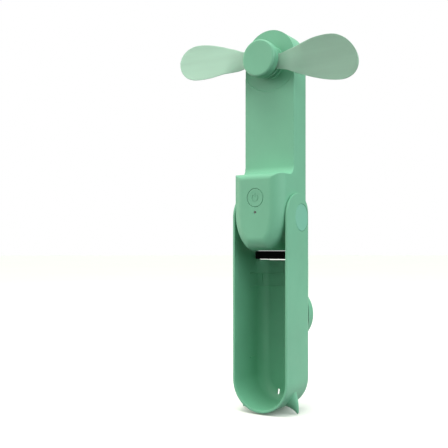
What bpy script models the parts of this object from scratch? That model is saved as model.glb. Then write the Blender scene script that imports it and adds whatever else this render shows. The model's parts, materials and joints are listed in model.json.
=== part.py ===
"""Folding handheld electric fan, open: a channel-shaped handle, and a fan body hinged between its two ears.

Lengths below are in millimetres, and point() turns them into metres. Two of the three are counted from the
object's own planes: depth from the handle's rim (positive towards the back), height from the hinge axis.
The origin is the middle of the rear pad's flat face. +X is the fan's right hand side, +Y its back, +Z up.
"""

import bmesh
import bpy
from math import asin, cos, pi, radians, sin, sqrt
from mathutils import Matrix, Vector

MM = 0.001
GAP = 0.3  # clearance between neighbouring pieces

# Handle
HANDLE_HALF = 20.0
HANDLE_DEPTH = 35.0
HANDLE_BOTTOM = -123.8
HANDLE_EDGE = 8.5  # radius of the edge round the back
HANDLE_WALL = 1.5
HANDLE_END = HANDLE_BOTTOM + HANDLE_HALF  # height of the end circle's centre
HINGE_DEPTH = 14.8
EAR_RADIUS = 14.8
EAR_TOP = 15.3
CUTOUT_BOTTOM = -27.3
CUTOUT_CORNER = 1.8
RIB_HEIGHTS = (-36.4, -45.3)
SHORT_RIB_HEIGHT = -92.4
RIB_DEPTH_START = 18.5
RIB_PROUD = 0.6
RIB_THICKNESS = 0.9

# Horns on the handle's round end
HORN_DEPTH = 13.4
HORN_BASE_ANGLE = radians(52.5)
HORN_TIP_ANGLE = radians(45.2)
HORN_BASE_RADIUS = 18.6
HORN_TIP_RADIUS = 28.9
HORN_HALF_WIDTH = 6.4
HORN_HALF_DEPTH = 3.6

# Small slot through the round end's back
DRAIN_X = -5.0
DRAIN_HEIGHT = -116.5
DRAIN_HALF_WIDTH = 0.8
DRAIN_HALF_LENGTH = 2.0

# Round pad on the handle's back
PAD_RADIUS = 19.6
PAD_PROUD = 2.5
PAD_HEIGHT = -63.3
PAD_RIM_FRONT = 30.0  # depth that the pad's rim reaches forwards to

# Hinge
CAP_RADIUS = 8.7
CAP_DEPTH = 19.5
CAP_POCKET = 1.0
PIN_RADIUS = 2.0
PIN_REACH = 12.0
BUSH_RADIUS = 3.6
BUSH_FLANGE = 4.6
RUNNING_GAP = 0.15

# Fan body: chin below, arm above, round head at the top
BODY_HALF = 18.2
BODY_WALL = 1.6
CHIN_FRONT = -5.4
CHIN_EDGE = 8.5
CHIN_BOTTOM = -21.2
SHELF_HEIGHT = 27.0
SHELF_EDGE = 4.0
SHELF_FILLET = 5.7
ARM_FACE = 12.2
BODY_BACK = 31.7
BACK_EDGE = 4.5
END_ELLIPSE_HEIGHT = 3.0
END_ELLIPSE_WIDE = 15.5
END_ELLIPSE_TALL = 25.0
HEAD_HEIGHT = 103.0  # centre of the head's arc, a little above the motor
MOTOR_HEIGHT = 100.0
SEAM_DEPTH = 28.5
SEAM_GAP = 0.2
DISH_RADIUS = 21.3
DISH_DEPTH = 0.55

# Dark bar under the chin that rests just over the handle's back wall when the fan is open
STOP_HALF = 18.0
STOP_FRONT = 25.2
STOP_BACK = 31.2
STOP_LOW = -26.8
STOP_HIGH = -21.45
STOP_CHAMFER = 1.0

# Motor, and the neck it looks out of
NECK_RADIUS = 9.0
NECK_FRONT = 9.6
MOTOR_RADIUS = 12.0
MOTOR_FRONT = 14.9
MOTOR_BACK = 27.2
SHAFT_RADIUS = 1.0
SCREW_OFFSET = 5.6

# Rotor, which is parked with its right blade a little low, and its two blades
ROTOR_TURN = radians(9.7)
HUB_CAP_RADIUS = 11.7
HUB_CAP_FRONT = -2.0
HUB_CAP_BACK = 3.9
HUB_CAP_EDGE = 1.3
HUB_RADIUS = 10.8
HUB_FRONT = 7.35
HUB_BACK = 9.3
HUB_POST = 1.7
BLADE_PIVOT = 6.5
BLADE_TAB = 4.6
BLADE_NECK = 5.0
BLADE_LENGTH = 65.0
BLADE_HALF_CHORD = 13.3
BLADE_WIDEST = 49.5
BLADE_ROOT_OFFSET = 1.5
BLADE_TIP_OFFSET = 3.0
BLADE_PITCH = radians(19.0)
BLADE_THICKNESS = 0.9
BLADE_DEPTHS = {"right": 6.6, "left": 4.8}

# Button, lamp, charging port
BUTTON_RADIUS = 5.7
BUTTON_HEIGHT = 11.8
BUTTON_FLANGE = 6.8
LAMP_HEIGHT = 2.8
LAMP_RADIUS = 0.75
PORT_HALF = 4.4
PORT_HALF_THICK = 1.6
PORT_DEPTH = 15.0
BOARD_FRONT = 2.6
BOARD_BACK = 3.8
BOARD_HALF = 13.5
BOARD_LOW = -9.5
BOARD_HIGH = 21.5
BOARD_SCREW_X = 9.5
BOARD_SCREW_HEIGHT = -6.0

PAD_FACE = HANDLE_DEPTH + PAD_PROUD

GREEN = (0.235, 0.565, 0.42)
BLADE_GREEN = (0.42, 0.66, 0.54)
STEEL = (0.55, 0.56, 0.57)
BRASS = (0.7, 0.52, 0.2)
BLACK = (0.02, 0.02, 0.022)
BOARD_GREEN = (0.02, 0.16, 0.06)
SILVER = (0.7, 0.71, 0.72)
FOAM_GREY = (0.16, 0.16, 0.17)
CLEAR = (0.05, 0.05, 0.05)
RED = (0.5, 0.02, 0.02)


def point(x, depth, height):
    """The place, in metres, that a width, a depth behind the rim and a height above the hinge name."""
    return Vector((x * MM, (depth - PAD_FACE) * MM, (height - PAD_HEIGHT) * MM))


def clear_scene():
    for item in list(bpy.data.objects):
        bpy.data.objects.remove(item)


def material(name, colour, roughness, metallic=0.0):
    found = bpy.data.materials.get(name)
    if found:
        return found
    made = bpy.data.materials.new(name)
    made.use_nodes = True
    shader = made.node_tree.nodes["Principled BSDF"]
    shader.inputs["Base Color"].default_value = (*colour, 1.0)
    shader.inputs["Roughness"].default_value = roughness
    shader.inputs["Metallic"].default_value = metallic
    return made


def finish_mesh(name, mesh):
    """Close up coincident points, turn the faces outwards and put the mesh in the scene."""
    bmesh.ops.remove_doubles(mesh, verts=mesh.verts, dist=0.002 * MM)
    bmesh.ops.recalc_face_normals(mesh, faces=mesh.faces)
    data = bpy.data.meshes.new(name)
    mesh.to_mesh(data)
    mesh.free()
    made = bpy.data.objects.new(name, data)
    bpy.context.collection.objects.link(made)
    return made


def loft(name, loops):
    """A closed solid whose skin runs from loop to loop, each with the same number of points."""
    mesh = bmesh.new()
    rings = [[mesh.verts.new(p) for p in loop] for loop in loops]
    for low, high in zip(rings, rings[1:]):
        count = len(low)
        for i in range(count):
            j = (i + 1) % count
            mesh.faces.new((low[i], low[j], high[j], high[i]))
    mesh.faces.new(rings[0])
    mesh.faces.new(rings[-1])
    return finish_mesh(name, mesh)


def turned(name, centre, axis, profile, sides=32):
    """A solid of revolution: profile lists (distance along axis, radius), from one end to the other."""
    along = Vector(axis).normalized()
    across = Vector((0, 0, 1)) if abs(along.z) < 0.5 else Vector((1, 0, 0))
    other = along.cross(across)
    loops = []
    for distance, radius in profile:
        middle = centre + along * distance * MM
        turns = [2 * pi * i / sides for i in range(sides)]
        loops.append([middle + (across * cos(t) + other * sin(t)) * radius * MM for t in turns])
    return loft(name, loops)


def ring(name, centre, axis, inner, outer, length, sides=32):
    """A tube of rectangular section: its skin goes out along the outside and back through the hole."""
    along = Vector(axis).normalized()
    across = Vector((0, 0, 1)) if abs(along.z) < 0.5 else Vector((1, 0, 0))
    other = along.cross(across)
    mesh = bmesh.new()
    corners = [(0.0, inner), (0.0, outer), (length, outer), (length, inner)]
    rings = []
    for distance, radius in corners:
        middle = centre + along * distance * MM
        turns = [2 * pi * i / sides for i in range(sides)]
        places = [middle + (across * cos(t) + other * sin(t)) * radius * MM for t in turns]
        rings.append([mesh.verts.new(p) for p in places])
    for low, high in zip(rings, rings[1:] + rings[:1]):
        for i in range(sides):
            j = (i + 1) % sides
            mesh.faces.new((low[i], low[j], high[j], high[i]))
    return finish_mesh(name, mesh)


def prism(name, outline, shift):
    """A flat outline of points in metres, carried along a straight shift."""
    return loft(name, [outline, [p + shift for p in outline]])


def box(name, x, depth, height):
    """A box between two widths, two depths and two heights."""
    outline = [
        point(x[0], depth[0], height[0]),
        point(x[1], depth[0], height[0]),
        point(x[1], depth[0], height[1]),
        point(x[0], depth[0], height[1]),
    ]
    return prism(name, outline, Vector((0, (depth[1] - depth[0]) * MM, 0)))


def combine(target, tool, operation):
    """Boolean the tool into the target, and drop the tool."""
    modifier = target.modifiers.new(operation, "BOOLEAN")
    modifier.operation = operation
    modifier.solver = "EXACT"
    modifier.object = tool
    graph = bpy.context.evaluated_depsgraph_get()
    result = bpy.data.meshes.new_from_object(target.evaluated_get(graph))
    target.modifiers.clear()
    target.data = result
    bpy.data.objects.remove(tool)


def cut(target, tool):
    combine(target, tool, "DIFFERENCE")


def add(target, tool):
    combine(target, tool, "UNION")


def hang(piece, pivot):
    """Parent a piece to the empty on its joint's axis, where it already is."""
    piece.data.transform(Matrix.Translation(-pivot.matrix_world.translation))
    piece.parent = pivot


def dress(piece, look, smooth=True):
    """Give a piece its material, and smooth shading with sharp edges kept."""
    piece.data.materials.clear()
    piece.data.materials.append(look)
    if smooth:
        piece.data.shade_smooth()
        piece.data.set_sharp_from_angle(angle=radians(35))


def empty(name, place, parent=None):
    """An empty on a joint's axis."""
    made = bpy.data.objects.new(name, None)
    bpy.context.collection.objects.link(made)
    made.empty_display_size = 0.01
    made.location = place
    if parent:
        made.location = place - parent.matrix_world.translation
        made.parent = parent
    bpy.context.view_layer.update()
    return made


def steps(count):
    return [i / count for i in range(count + 1)]


# ---------------------------------------------------------------- handle


def stadium(inset, depth, top, ends=28):
    """The handle's front outline, moved inwards by inset: a round end below, straight sides up to top."""
    half = HANDLE_HALF - inset
    turns = [pi + pi * t for t in steps(ends)]
    outline = [point(half * cos(t), depth, HANDLE_END + half * sin(t)) for t in turns]
    return outline + [point(half, depth, top), point(-half, depth, top)]


def channel_solid(name, inset, front, top, edge_steps=6):
    """The handle's outer shape, or with an inset its hollow: straight sides, then the round back edge."""
    edge = HANDLE_EDGE - inset
    start = HANDLE_DEPTH - HANDLE_EDGE
    loops = [stadium(inset, front, top)]
    for t in steps(edge_steps):
        turn = t * pi / 2
        inwards = inset + edge * (1 - cos(turn))
        loops.append(stadium(inwards, start + edge * sin(turn), top))
    return loft(name, loops)


def ear_profile():
    """The handle seen from the side: an arch round the hinge, and a step where the back wall is cut away."""
    back = HINGE_DEPTH + EAR_RADIUS
    beyond = HANDLE_DEPTH + 2
    below = HANDLE_BOTTOM - 10
    outline = [(-1.0, below), (beyond, below), (beyond, CUTOUT_BOTTOM)]
    for t in steps(4):
        turn = -pi / 2 - t * pi / 2
        depth = back + CUTOUT_CORNER + CUTOUT_CORNER * cos(turn)
        outline.append((depth, CUTOUT_BOTTOM + CUTOUT_CORNER + CUTOUT_CORNER * sin(turn)))
    for t in steps(22):
        turn = pi * t
        outline.append((HINGE_DEPTH + EAR_RADIUS * cos(turn), EAR_TOP * sin(turn)))
    outline.append((-1.0, -0.4))
    return outline


def cutout_prism(half):
    """The gap between the ears that the chin swings through, with rounded lower corners."""
    outline = []
    for side in (-1, 1):
        for t in steps(4):
            turn = (t if side < 0 else 1 - t) * pi / 2
            x = side * (half - CUTOUT_CORNER + CUTOUT_CORNER * cos(turn))
            outline.append(point(x, 26.0, CUTOUT_BOTTOM + CUTOUT_CORNER * (1 - sin(turn))))
    outline += [point(half, 26.0, 40.0), point(-half, 26.0, 40.0)]
    return prism("cutout", outline, Vector((0, 14 * MM, 0)))


def channel_rib(height):
    """A rib that follows the inside of the channel, from one side wall round the back to the other."""

    def run(inset):
        half = HANDLE_HALF - inset
        edge = HANDLE_EDGE - inset
        start = HANDLE_DEPTH - HANDLE_EDGE
        right = [(half, RIB_DEPTH_START)]
        for t in steps(6):
            turn = t * pi / 2
            right.append((half - edge * (1 - cos(turn)), start + edge * sin(turn)))
        return right + [(-x, depth) for x, depth in reversed(right)]

    outer = run(HANDLE_WALL - 0.3)
    inner = run(HANDLE_WALL + RIB_PROUD)
    outline = outer + list(reversed(inner))
    base = height - RIB_THICKNESS / 2
    places = [point(x, depth, base) for x, depth in outline]
    return prism("rib", places, Vector((0, 0, RIB_THICKNESS * MM)))


def short_rib(side):
    """One of two short ribs low on the side walls."""
    wall = HANDLE_HALF - HANDLE_WALL
    x = sorted((side * (wall + 0.3), side * (wall - RIB_PROUD)))
    low = SHORT_RIB_HEIGHT - RIB_THICKNESS / 2
    return box("short_rib", x, (RIB_DEPTH_START, 24.5), (low, low + RIB_THICKNESS))


def horn(side):
    """A horn: ellipses that shrink along a curve from the handle's round end to a blunt tip."""
    loops = []
    for t in steps(7):
        angle = HORN_BASE_ANGLE + (HORN_TIP_ANGLE - HORN_BASE_ANGLE) * t ** 1.6
        reach = HORN_BASE_RADIUS + (HORN_TIP_RADIUS - HORN_BASE_RADIUS) * t
        size = 0.12 + 0.88 * (1 - t) ** 1.1
        middle = Vector((side * reach * sin(angle), HORN_DEPTH, HANDLE_END - reach * cos(angle)))
        across = Vector((side * cos(angle), 0, sin(angle)))
        loop = []
        for i in range(12):
            turn = 2 * pi * i / 12
            place = middle + across * HORN_HALF_WIDTH * size * cos(turn)
            loop.append(point(place.x, place.y + HORN_HALF_DEPTH * size * sin(turn), place.z))
        loops.append(loop)
    return loft("horn", loops)


def drain_slot():
    """An upright slot with round ends, as a cutter through the back wall."""
    wide = DRAIN_HALF_WIDTH
    straight = DRAIN_HALF_LENGTH - wide
    outline = [(wide * cos(pi * t), straight + wide * sin(pi * t)) for t in steps(8)]
    outline += [(-x, -height) for x, height in outline]
    places = [point(DRAIN_X + x, 24.0, DRAIN_HEIGHT + height) for x, height in outline]
    return prism("drain", places, Vector((0, 14 * MM, 0)))


def hinge_hole(name, radius, reach):
    """A cylinder along the hinge axis, through both sides."""
    centre = point(-reach, HINGE_DEPTH, 0)
    return turned(name, centre, (1, 0, 0), [(0, radius), (2 * reach, radius)], 24)


def make_handle_shell():
    shell = channel_solid("handle_shell", 0.0, 0.0, 22.0)
    side = [point(-30.0, depth, height) for depth, height in ear_profile()]
    combine(shell, prism("side", side, Vector((60 * MM, 0, 0))), "INTERSECT")
    cut(shell, channel_solid("hollow", HANDLE_WALL, -4.0, 45.0))
    cut(shell, cutout_prism(HANDLE_HALF - HANDLE_WALL))
    for height in RIB_HEIGHTS:
        add(shell, channel_rib(height))
    for side in (-1, 1):
        add(shell, short_rib(side))
        add(shell, horn(side))
        floor = point(side * (HANDLE_HALF - CAP_POCKET), CAP_DEPTH, 0)
        cut(shell, turned("pocket", floor, (side, 0, 0), [(0, CAP_RADIUS + 0.2), (5, CAP_RADIUS + 0.2)], 36))
    cut(shell, drain_slot())
    cut(shell, hinge_hole("pin_hole", PIN_RADIUS + 0.2, 30.0))
    dress(shell, material("handle_plastic", GREEN, 0.42))


def make_rear_pad():
    """A disc that sits on the handle's rounded back, with a softened edge and a flat outer face."""
    profile = [(PAD_RIM_FRONT, PAD_RADIUS), (PAD_FACE - 1.2, PAD_RADIUS)]
    profile += [(PAD_FACE - 0.35, PAD_RADIUS - 0.35), (PAD_FACE, PAD_RADIUS - 1.2)]
    pad = turned("rear_pad", point(0, 0, PAD_HEIGHT), (0, 1, 0), profile, 40)
    cut(pad, channel_solid("handle_outside", -GAP, 0.0, 22.0))
    dress(pad, material("pad_plastic", GREEN, 0.5))


def make_hinge_hardware(name, side):
    """Cap, pin and retaining clip on the handle's ear."""
    inside = HANDLE_HALF - CAP_POCKET + 0.25
    start = point(side * inside, CAP_DEPTH, 0)
    cap = turned("hinge_cap_" + name, start, (side, 0, 0), [(0, CAP_RADIUS), (3, CAP_RADIUS)], 36)
    combine(cap, channel_solid("handle_outside", 0.0, 0.0, 22.0), "INTERSECT")
    dress(cap, material("cap_plastic", GREEN, 0.36))

    foot = point(side * PIN_REACH, HINGE_DEPTH, 0)
    length = inside - 0.2 - PIN_REACH
    groove = PIN_RADIUS - 0.5
    profile = [(0, PIN_RADIUS - 0.3), (0.3, PIN_RADIUS), (1.0, PIN_RADIUS), (1.0, groove)]
    profile += [(1.7, groove), (1.7, PIN_RADIUS), (length, PIN_RADIUS)]
    pin = turned("hinge_pin_" + name, foot, (side, 0, 0), profile, 16)
    dress(pin, material("steel", STEEL, 0.3, 1.0))

    clip_start = point(side * (PIN_REACH + 1.1), HINGE_DEPTH, 0)
    clip = ring("retaining_clip_" + name, clip_start, (side, 0, 0), PIN_RADIUS - 0.35, 3.4, 0.5, 20)
    mouth_x = sorted((side * (PIN_REACH + 0.5), side * (PIN_REACH + 2.2)))
    cut(clip, box("mouth", mouth_x, (HINGE_DEPTH - 1.2, HINGE_DEPTH + 1.2), (-6.0, 0.0)))
    dress(clip, material("steel", STEEL, 0.3, 1.0), smooth=False)


# ---------------------------------------------------------------- fan body


def body_end(inset, depth):
    """The chin's lower outline from left to right: part of an ellipse each side of a flat end."""
    wide = END_ELLIPSE_WIDE - inset
    tall = END_ELLIPSE_TALL - inset
    middle = BODY_HALF - END_ELLIPSE_WIDE
    last = asin((END_ELLIPSE_HEIGHT - CHIN_BOTTOM - inset) / tall)
    right = []
    for t in steps(8):
        turn = last * (1 - t)
        right.append((middle + wide * cos(turn), END_ELLIPSE_HEIGHT - tall * sin(turn)))
    left = [(-x, height) for x, height in reversed(right)]
    return [point(x, depth, height) for x, height in left + right]


def body_top(inset, depth, shelf):
    """The outline above the end: a straight shelf at the height given, or the round head if it is None."""
    half = BODY_HALF - inset
    foot = SHELF_HEIGHT + SHELF_FILLET
    count = 24
    if shelf is None:
        places = [(half, foot)]
        places += [(half * cos(pi * t), HEAD_HEIGHT + half * sin(pi * t)) for t in steps(count)]
        places.append((-half, foot))
    else:
        places = [(half, shelf)]
        places += [(half * cos(pi * t), shelf) for t in steps(count)]
        places.append((-half, shelf))
    return [point(x, depth, height) for x, height in places]


def body_loop(inset, depth, shelf):
    return body_end(inset, depth) + body_top(inset, depth, shelf)


def body_levels(wall):
    """Loops of the fan body from its front to its widest, at the outer skin (wall 0) or inside it."""
    levels = []
    middle = CHIN_FRONT + CHIN_EDGE
    edge = CHIN_EDGE - wall
    for t in steps(7):
        turn = t * pi / 2
        depth = middle - edge * cos(turn)
        inset = wall + edge * (1 - sin(turn))
        lip = max(0.0, CHIN_FRONT + wall + SHELF_EDGE - depth)
        drop = SHELF_EDGE - sqrt(max(0.0, SHELF_EDGE ** 2 - lip ** 2))
        levels.append(body_loop(inset, depth, SHELF_HEIGHT - wall - drop))
    fillet_depth = ARM_FACE - SHELF_FILLET
    fillet_height = SHELF_HEIGHT + SHELF_FILLET
    radius = SHELF_FILLET + wall
    for t in steps(5):
        turn = t * pi / 2
        depth = fillet_depth + radius * sin(turn)
        levels.append(body_loop(wall, depth, fillet_height - radius * cos(turn)))
    levels.append(body_loop(wall, ARM_FACE + wall, None))
    return levels


def edge_turn(wall, depth):
    """How far round the back edge's arc a depth lies, in radians."""
    return asin((depth - BODY_BACK + BACK_EDGE) / (BACK_EDGE - wall))


def back_levels(wall, first, stop_turn, count):
    """Loops round the fan body's back edge, between two turns of its arc."""
    edge = BACK_EDGE - wall
    middle = BODY_BACK - BACK_EDGE
    levels = []
    for t in steps(count):
        turn = first + (stop_turn - first) * t
        levels.append(body_loop(wall + edge * (1 - cos(turn)), middle + edge * sin(turn), None))
    return levels


def make_front_shell():
    """Chin, arm face and sides as one moulding, open at the back."""
    seam = SEAM_DEPTH - SEAM_GAP / 2
    outside = body_levels(0.0) + back_levels(0.0, 0.0, edge_turn(0.0, seam), 3)
    inside = body_levels(BODY_WALL) + back_levels(BODY_WALL, 0.0, edge_turn(BODY_WALL, seam), 3)
    shell = loft("front_shell", outside + inside[::-1])
    facing = (0, 1, 0)
    hub = point(0, 0, MOTOR_HEIGHT)
    dish = [(ARM_FACE - 2, DISH_RADIUS), (ARM_FACE + DISH_DEPTH, DISH_RADIUS)]
    cut(shell, turned("dish", point(0, 0, HEAD_HEIGHT), facing, dish, 64))
    neck = [(NECK_FRONT, NECK_RADIUS - 0.4), (NECK_FRONT + 0.4, NECK_RADIUS), (ARM_FACE + 1.0, NECK_RADIUS)]
    add(shell, turned("neck", hub, facing, neck, 40))
    cut(shell, turned("bearing_hole", hub, facing, [(NECK_FRONT - 2, 3.3), (MOTOR_FRONT, 3.3)], 24))
    for side in (-1, 1):
        place = point(0, 0, MOTOR_HEIGHT + side * SCREW_OFFSET)
        cut(shell, turned("head_hole", place, facing, [(NECK_FRONT - 2, 1.9), (NECK_FRONT + 1.6, 1.9)], 16))
        cut(shell, turned("shank_hole", place, facing, [(NECK_FRONT - 2, 1.1), (MOTOR_FRONT, 1.1)], 16))
        post = point(side * BOARD_SCREW_X, 0, BOARD_SCREW_HEIGHT)
        add(shell, turned("post", post, facing, [(CHIN_FRONT + 1.0, 2.4), (BOARD_FRONT - GAP, 2.4)], 16))
        cut(shell, turned("pilot", post, facing, [(CHIN_FRONT + 2.6, 1.1), (BOARD_FRONT + 1, 1.1)], 16))
    button = point(0, 0, BUTTON_HEIGHT)
    wide = BUTTON_RADIUS + 0.2
    cut(shell, turned("button_hole", button, facing, [(CHIN_FRONT - 2, wide), (CHIN_FRONT + 3, wide)], 40))
    lamp = point(0, 0, LAMP_HEIGHT)
    wide = LAMP_RADIUS + 0.15
    cut(shell, turned("lamp_hole", lamp, facing, [(CHIN_FRONT - 2, wide), (CHIN_FRONT + 3, wide)], 16))
    cut(shell, port_outline("port_hole", 0.3, CHIN_BOTTOM - 2, 4.5))
    cut(shell, hinge_hole("bush_hole", BUSH_RADIUS + 0.2, 30.0))
    dress(shell, material("body_plastic", GREEN, 0.42))


def make_rear_cover():
    """The panel that closes the fan body's back, with the round edge that shows when the fan is shut."""
    seam = SEAM_DEPTH + SEAM_GAP / 2
    outside = back_levels(0.0, edge_turn(0.0, seam), pi / 2, 5)
    inside = back_levels(BODY_WALL, edge_turn(BODY_WALL, seam), pi / 2, 5)
    cover = loft("rear_cover", outside[::-1] + inside)
    dress(cover, material("cover_plastic", GREEN, 0.42))


def make_stop_bar():
    """A dark bar across the chin's underside that keeps the fan body from opening too far."""
    outline = [
        (STOP_FRONT, STOP_HIGH),
        (STOP_FRONT, STOP_LOW + STOP_CHAMFER),
        (STOP_FRONT + STOP_CHAMFER, STOP_LOW),
        (STOP_BACK - STOP_CHAMFER, STOP_LOW),
        (STOP_BACK, STOP_LOW + STOP_CHAMFER),
        (STOP_BACK, STOP_HIGH),
    ]
    places = [point(-STOP_HALF, depth, height) for depth, height in outline]
    bar = prism("stop_bar", places, Vector((2 * STOP_HALF * MM, 0, 0)))
    dress(bar, material("stop_rubber", BLACK, 0.6))


def port_outline(name, margin, start, length):
    """A flat-sided, round-ended bar along +Z, the shape of the charging socket."""
    half = PORT_HALF + margin
    thick = PORT_HALF_THICK + margin
    outline = []
    for t in steps(8):
        turn = -pi / 2 + pi * t
        outline.append((half - thick + thick * cos(turn), PORT_DEPTH + thick * sin(turn)))
    outline += [(-x, 2 * PORT_DEPTH - depth) for x, depth in outline]
    places = [point(x, depth, start) for x, depth in outline]
    return prism(name, places, Vector((0, 0, length * MM)))


def make_charge_port():
    """The metal socket in the chin's flat end, open downwards."""
    port = port_outline("charge_port", 0.0, CHIN_BOTTOM + 0.25, 6.8)
    cut(port, port_outline("mouth", -0.35, CHIN_BOTTOM - 1, 6.9))
    dress(port, material("socket_metal", SILVER, 0.3, 1.0))


def make_hinge_bush(name, side):
    """Flanged brass bush in the body's side wall, and the friction washer behind it."""
    outside = point(side * (BODY_HALF - 0.1), HINGE_DEPTH, 0)
    inner = PIN_RADIUS + RUNNING_GAP
    bush = ring("hinge_bush_" + name, outside, (-side, 0, 0), inner, BUSH_RADIUS, 2.9, 24)
    dress(bush, material("brass", BRASS, 0.35, 1.0))
    flange = point(side * (BODY_HALF - 3.3), HINGE_DEPTH, 0)
    washer = ring("friction_washer_" + name, flange, (-side, 0, 0), inner, BUSH_FLANGE, 0.6, 24)
    dress(washer, material("steel", STEEL, 0.3, 1.0))


def make_screw(name, x, height, head, shank_end, head_radius=1.6, shank_radius=0.85):
    """A small pan-head screw along the depth, its head at the first depth."""
    way = 1 if shank_end > head else -1
    length = abs(shank_end - head)
    profile = [(0, head_radius - 0.35), (0.3, head_radius), (1.1, head_radius)]
    profile += [(1.1, shank_radius), (length - 0.4, shank_radius), (length, shank_radius * 0.4)]
    screw = turned(name, point(x, head, height), (0, way, 0), profile, 12)
    slot_depth = sorted((head - way * 0.5, head + way * 0.5))
    cut(screw, box("slot", (x - 3, x + 3), slot_depth, (height - 0.22, height + 0.22)))
    dress(screw, material("steel", STEEL, 0.3, 1.0))


def make_motor():
    """Steel can, plastic end cap, front bearing, shaft screws: everything that doesn't turn."""
    hub = point(0, 0, MOTOR_HEIGHT)
    facing = (0, 1, 0)
    profile = [(MOTOR_FRONT, MOTOR_RADIUS - 0.8), (MOTOR_FRONT + 0.8, MOTOR_RADIUS), (MOTOR_BACK, MOTOR_RADIUS)]
    can = turned("motor_can", hub, facing, profile, 36)
    cut(can, turned("shaft_hole", hub, facing, [(MOTOR_FRONT - 1, 1.3), (MOTOR_BACK - 2, 1.3)], 16))
    for side in (-1, 1):
        place = point(0, 0, MOTOR_HEIGHT + side * SCREW_OFFSET)
        cut(can, turned("thread", place, facing, [(MOTOR_FRONT - 1, 1.1), (MOTOR_FRONT + 2.5, 1.1)], 16))
    dress(can, material("steel", STEEL, 0.3, 1.0))
    back = [(MOTOR_BACK + 0.2, MOTOR_RADIUS - 0.6), (MOTOR_BACK + 1.4, MOTOR_RADIUS - 1.2)]
    dress(turned("motor_end_cap", hub, facing, back, 28), material("black_plastic", BLACK, 0.5))
    start = point(0, NECK_FRONT + 0.5, MOTOR_HEIGHT)
    length = MOTOR_FRONT - GAP - NECK_FRONT - 0.5
    bearing = ring("motor_bearing", start, facing, SHAFT_RADIUS + RUNNING_GAP, 3.0, length, 24)
    dress(bearing, material("brass", BRASS, 0.35, 1.0))
    for label, side in (("lower", -1), ("upper", 1)):
        height = MOTOR_HEIGHT + side * SCREW_OFFSET
        make_screw("motor_screw_" + label, 0, height, NECK_FRONT + 0.3, MOTOR_FRONT + 2.0)


def make_electrics():
    """Cell, foam, board, switch, lamp and board screws."""
    board = box("control_board", (-BOARD_HALF, BOARD_HALF), (BOARD_FRONT, BOARD_BACK), (BOARD_LOW, BOARD_HIGH))
    for name, side in (("left", -1), ("right", 1)):
        x = side * BOARD_SCREW_X
        place = point(x, BOARD_FRONT - 1, BOARD_SCREW_HEIGHT)
        cut(board, turned("screw_hole", place, (0, 1, 0), [(0, 1.15), (4, 1.15)], 14))
        make_screw("board_screw_" + name, x, BOARD_SCREW_HEIGHT, BOARD_BACK + 1.4, CHIN_FRONT + 3.4)
    dress(board, material("board", BOARD_GREEN, 0.45), smooth=False)

    switch = box("tactile_switch", (-3, 3), (-0.6, 2.3), (BUTTON_HEIGHT - 3, BUTTON_HEIGHT + 3))
    stem = [(-1.9, 1.6), (0.2, 1.6)]
    add(switch, turned("stem", point(0, 0, BUTTON_HEIGHT), (0, 1, 0), stem, 20))
    dress(switch, material("black_plastic", BLACK, 0.5))

    led = box("indicator_led", (-0.8, 0.8), (1.2, 2.3), (LAMP_HEIGHT - 0.8, LAMP_HEIGHT + 0.8))
    dress(led, material("lamp", SILVER, 0.3), smooth=False)
    pipe = [(CHIN_FRONT + 0.1, LAMP_RADIUS), (0.9, LAMP_RADIUS)]
    light = turned("light_pipe", point(0, 0, LAMP_HEIGHT), (0, 1, 0), pipe, 16)
    dress(light, material("lamp_window", CLEAR, 0.15))

    cell = box("battery_cell", (-14.3, 14.3), (16.6, 25.8), (29.0, 84.0))
    modifier = cell.modifiers.new("soft_edges", "BEVEL")
    modifier.width = 1.8 * MM
    modifier.segments = 3
    dress(cell, material("cell_foil", SILVER, 0.35, 0.8))
    foam = box("battery_foam", (-10.0, 10.0), (26.1, 29.7), (38.0, 76.0))
    dress(foam, material("foam", FOAM_GREY, 0.9), smooth=False)


def wire(name, places, colour):
    """A thin lead through the points given, as a round tube with closed ends."""
    curve = bpy.data.curves.new(name, "CURVE")
    curve.dimensions = "3D"
    curve.bevel_depth = 0.5 * MM
    curve.bevel_resolution = 1
    curve.use_fill_caps = True
    spline = curve.splines.new("POLY")
    smooth = smooth_route([point(*p) for p in places], 3)
    spline.points.add(len(smooth) - 1)
    for knot, place in zip(spline.points, smooth):
        knot.co = (*place, 1.0)
    shaped = bpy.data.objects.new("route", curve)
    bpy.context.collection.objects.link(shaped)
    graph = bpy.context.evaluated_depsgraph_get()
    mesh = bpy.data.meshes.new_from_object(shaped.evaluated_get(graph))
    bpy.data.objects.remove(shaped)
    made = bpy.data.objects.new(name, mesh)
    bpy.context.collection.objects.link(made)
    dress(made, material(name + "_skin", colour, 0.5))


def smooth_route(places, count):
    """A Catmull-Rom curve through the places, with count steps between each two."""
    ends = [places[0] * 2 - places[1]] + places + [places[-1] * 2 - places[-2]]
    route = []
    for a, b, c, d in zip(ends, ends[1:], ends[2:], ends[3:]):
        for i in range(count):
            t = i / count
            bend = (2 * a - 5 * b + 4 * c - d) * t * t + (3 * b - a - 3 * c + d) * t ** 3
            route.append(0.5 * (2 * b + (c - a) * t + bend))
    return route + [places[-1]]


def make_leads():
    """The motor's two leads, from its end cap down past the cell to the board."""
    for name, side, colour in (("motor_lead_red", 1, RED), ("motor_lead_black", -1, BLACK)):
        high = MOTOR_HEIGHT - 5
        back = MOTOR_BACK + 2.1
        places = [(side * 4, back, high), (side * 11, back, 86), (side * 13, 27.3, 78), (side * 12.5, 27.3, 34)]
        places += [(side * 10, 22, 24), (side * 8, 12, 19), (side * 7, BOARD_BACK + 1.0, 18)]
        wire(name, places, colour)


# ---------------------------------------------------------------- rotor, blades, button


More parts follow.
